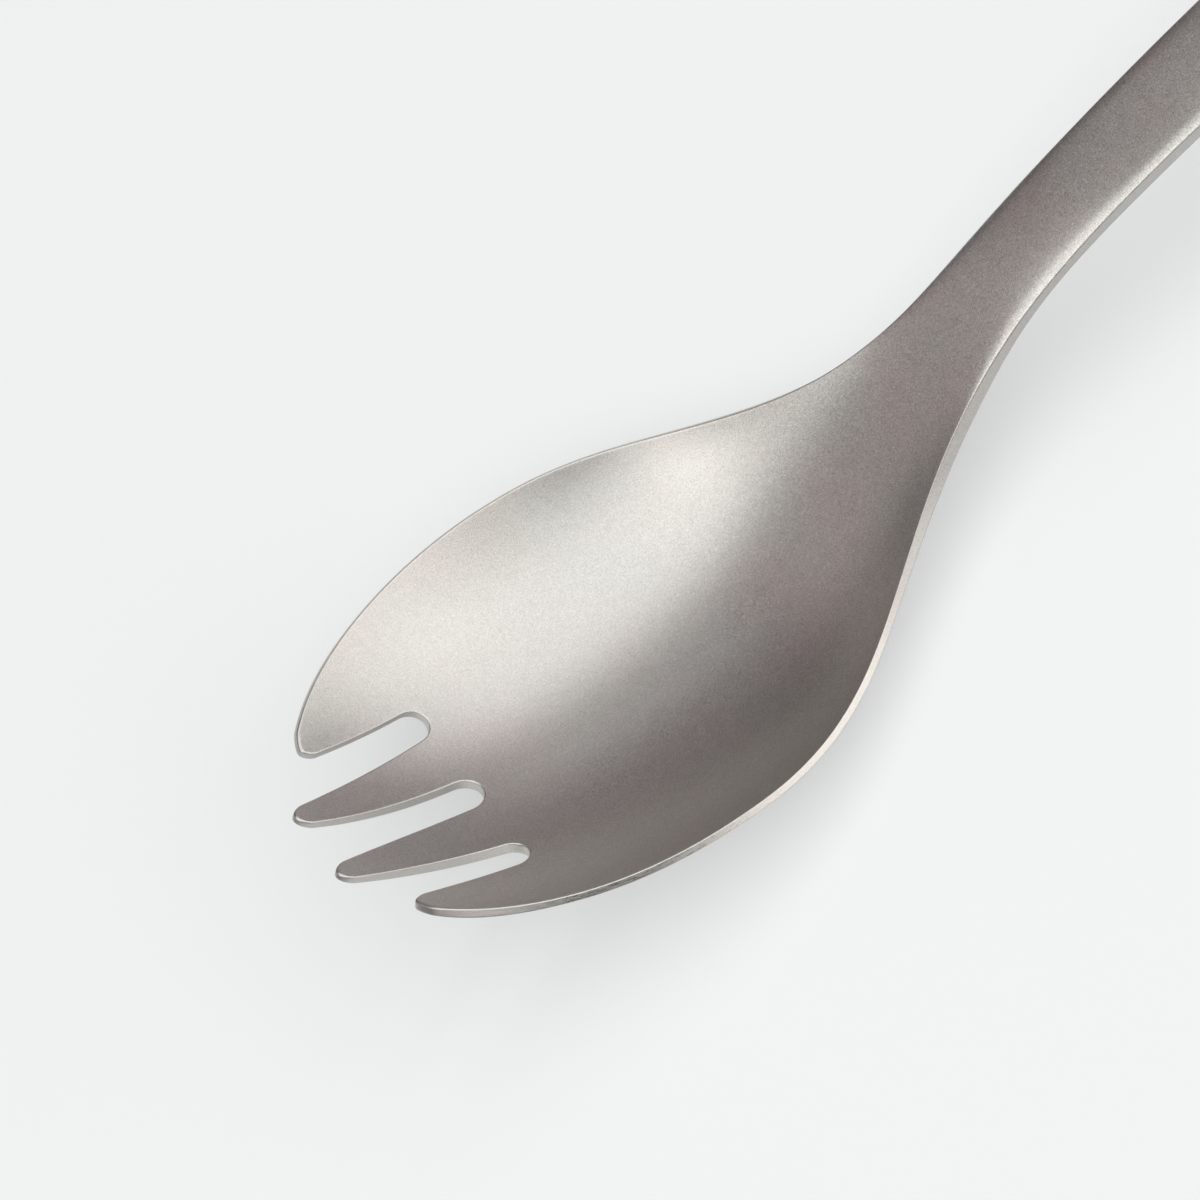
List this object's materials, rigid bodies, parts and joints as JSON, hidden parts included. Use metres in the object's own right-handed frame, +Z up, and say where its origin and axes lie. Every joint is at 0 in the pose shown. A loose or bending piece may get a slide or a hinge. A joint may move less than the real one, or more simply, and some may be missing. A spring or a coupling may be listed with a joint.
{
  "type": "spork",
  "caption": "One-piece metal spork: a thin spoon bowl with four blunt fork tines cut into its front, and a thicker arched handle with rounded shoulders.",
  "frame": {"origin": "middle of the length and width, at the table plane that the underside of the bowl and the end of the handle rest on", "axes": "+X along the length from the tines to the end of the handle, +Y across to the left of someone who looks from the tines to the handle, +Z up, bowl open upwards"},
  "size_m": [0.165, 0.0388, 0.0181],
  "materials": {
    "titanium": "bead-blasted bare titanium, matt and slightly warm grey, with a polished line along the cut edges"
  },
  "bodies": {
    "root": {"spork": "titanium"}
  },
  "joints": []
}
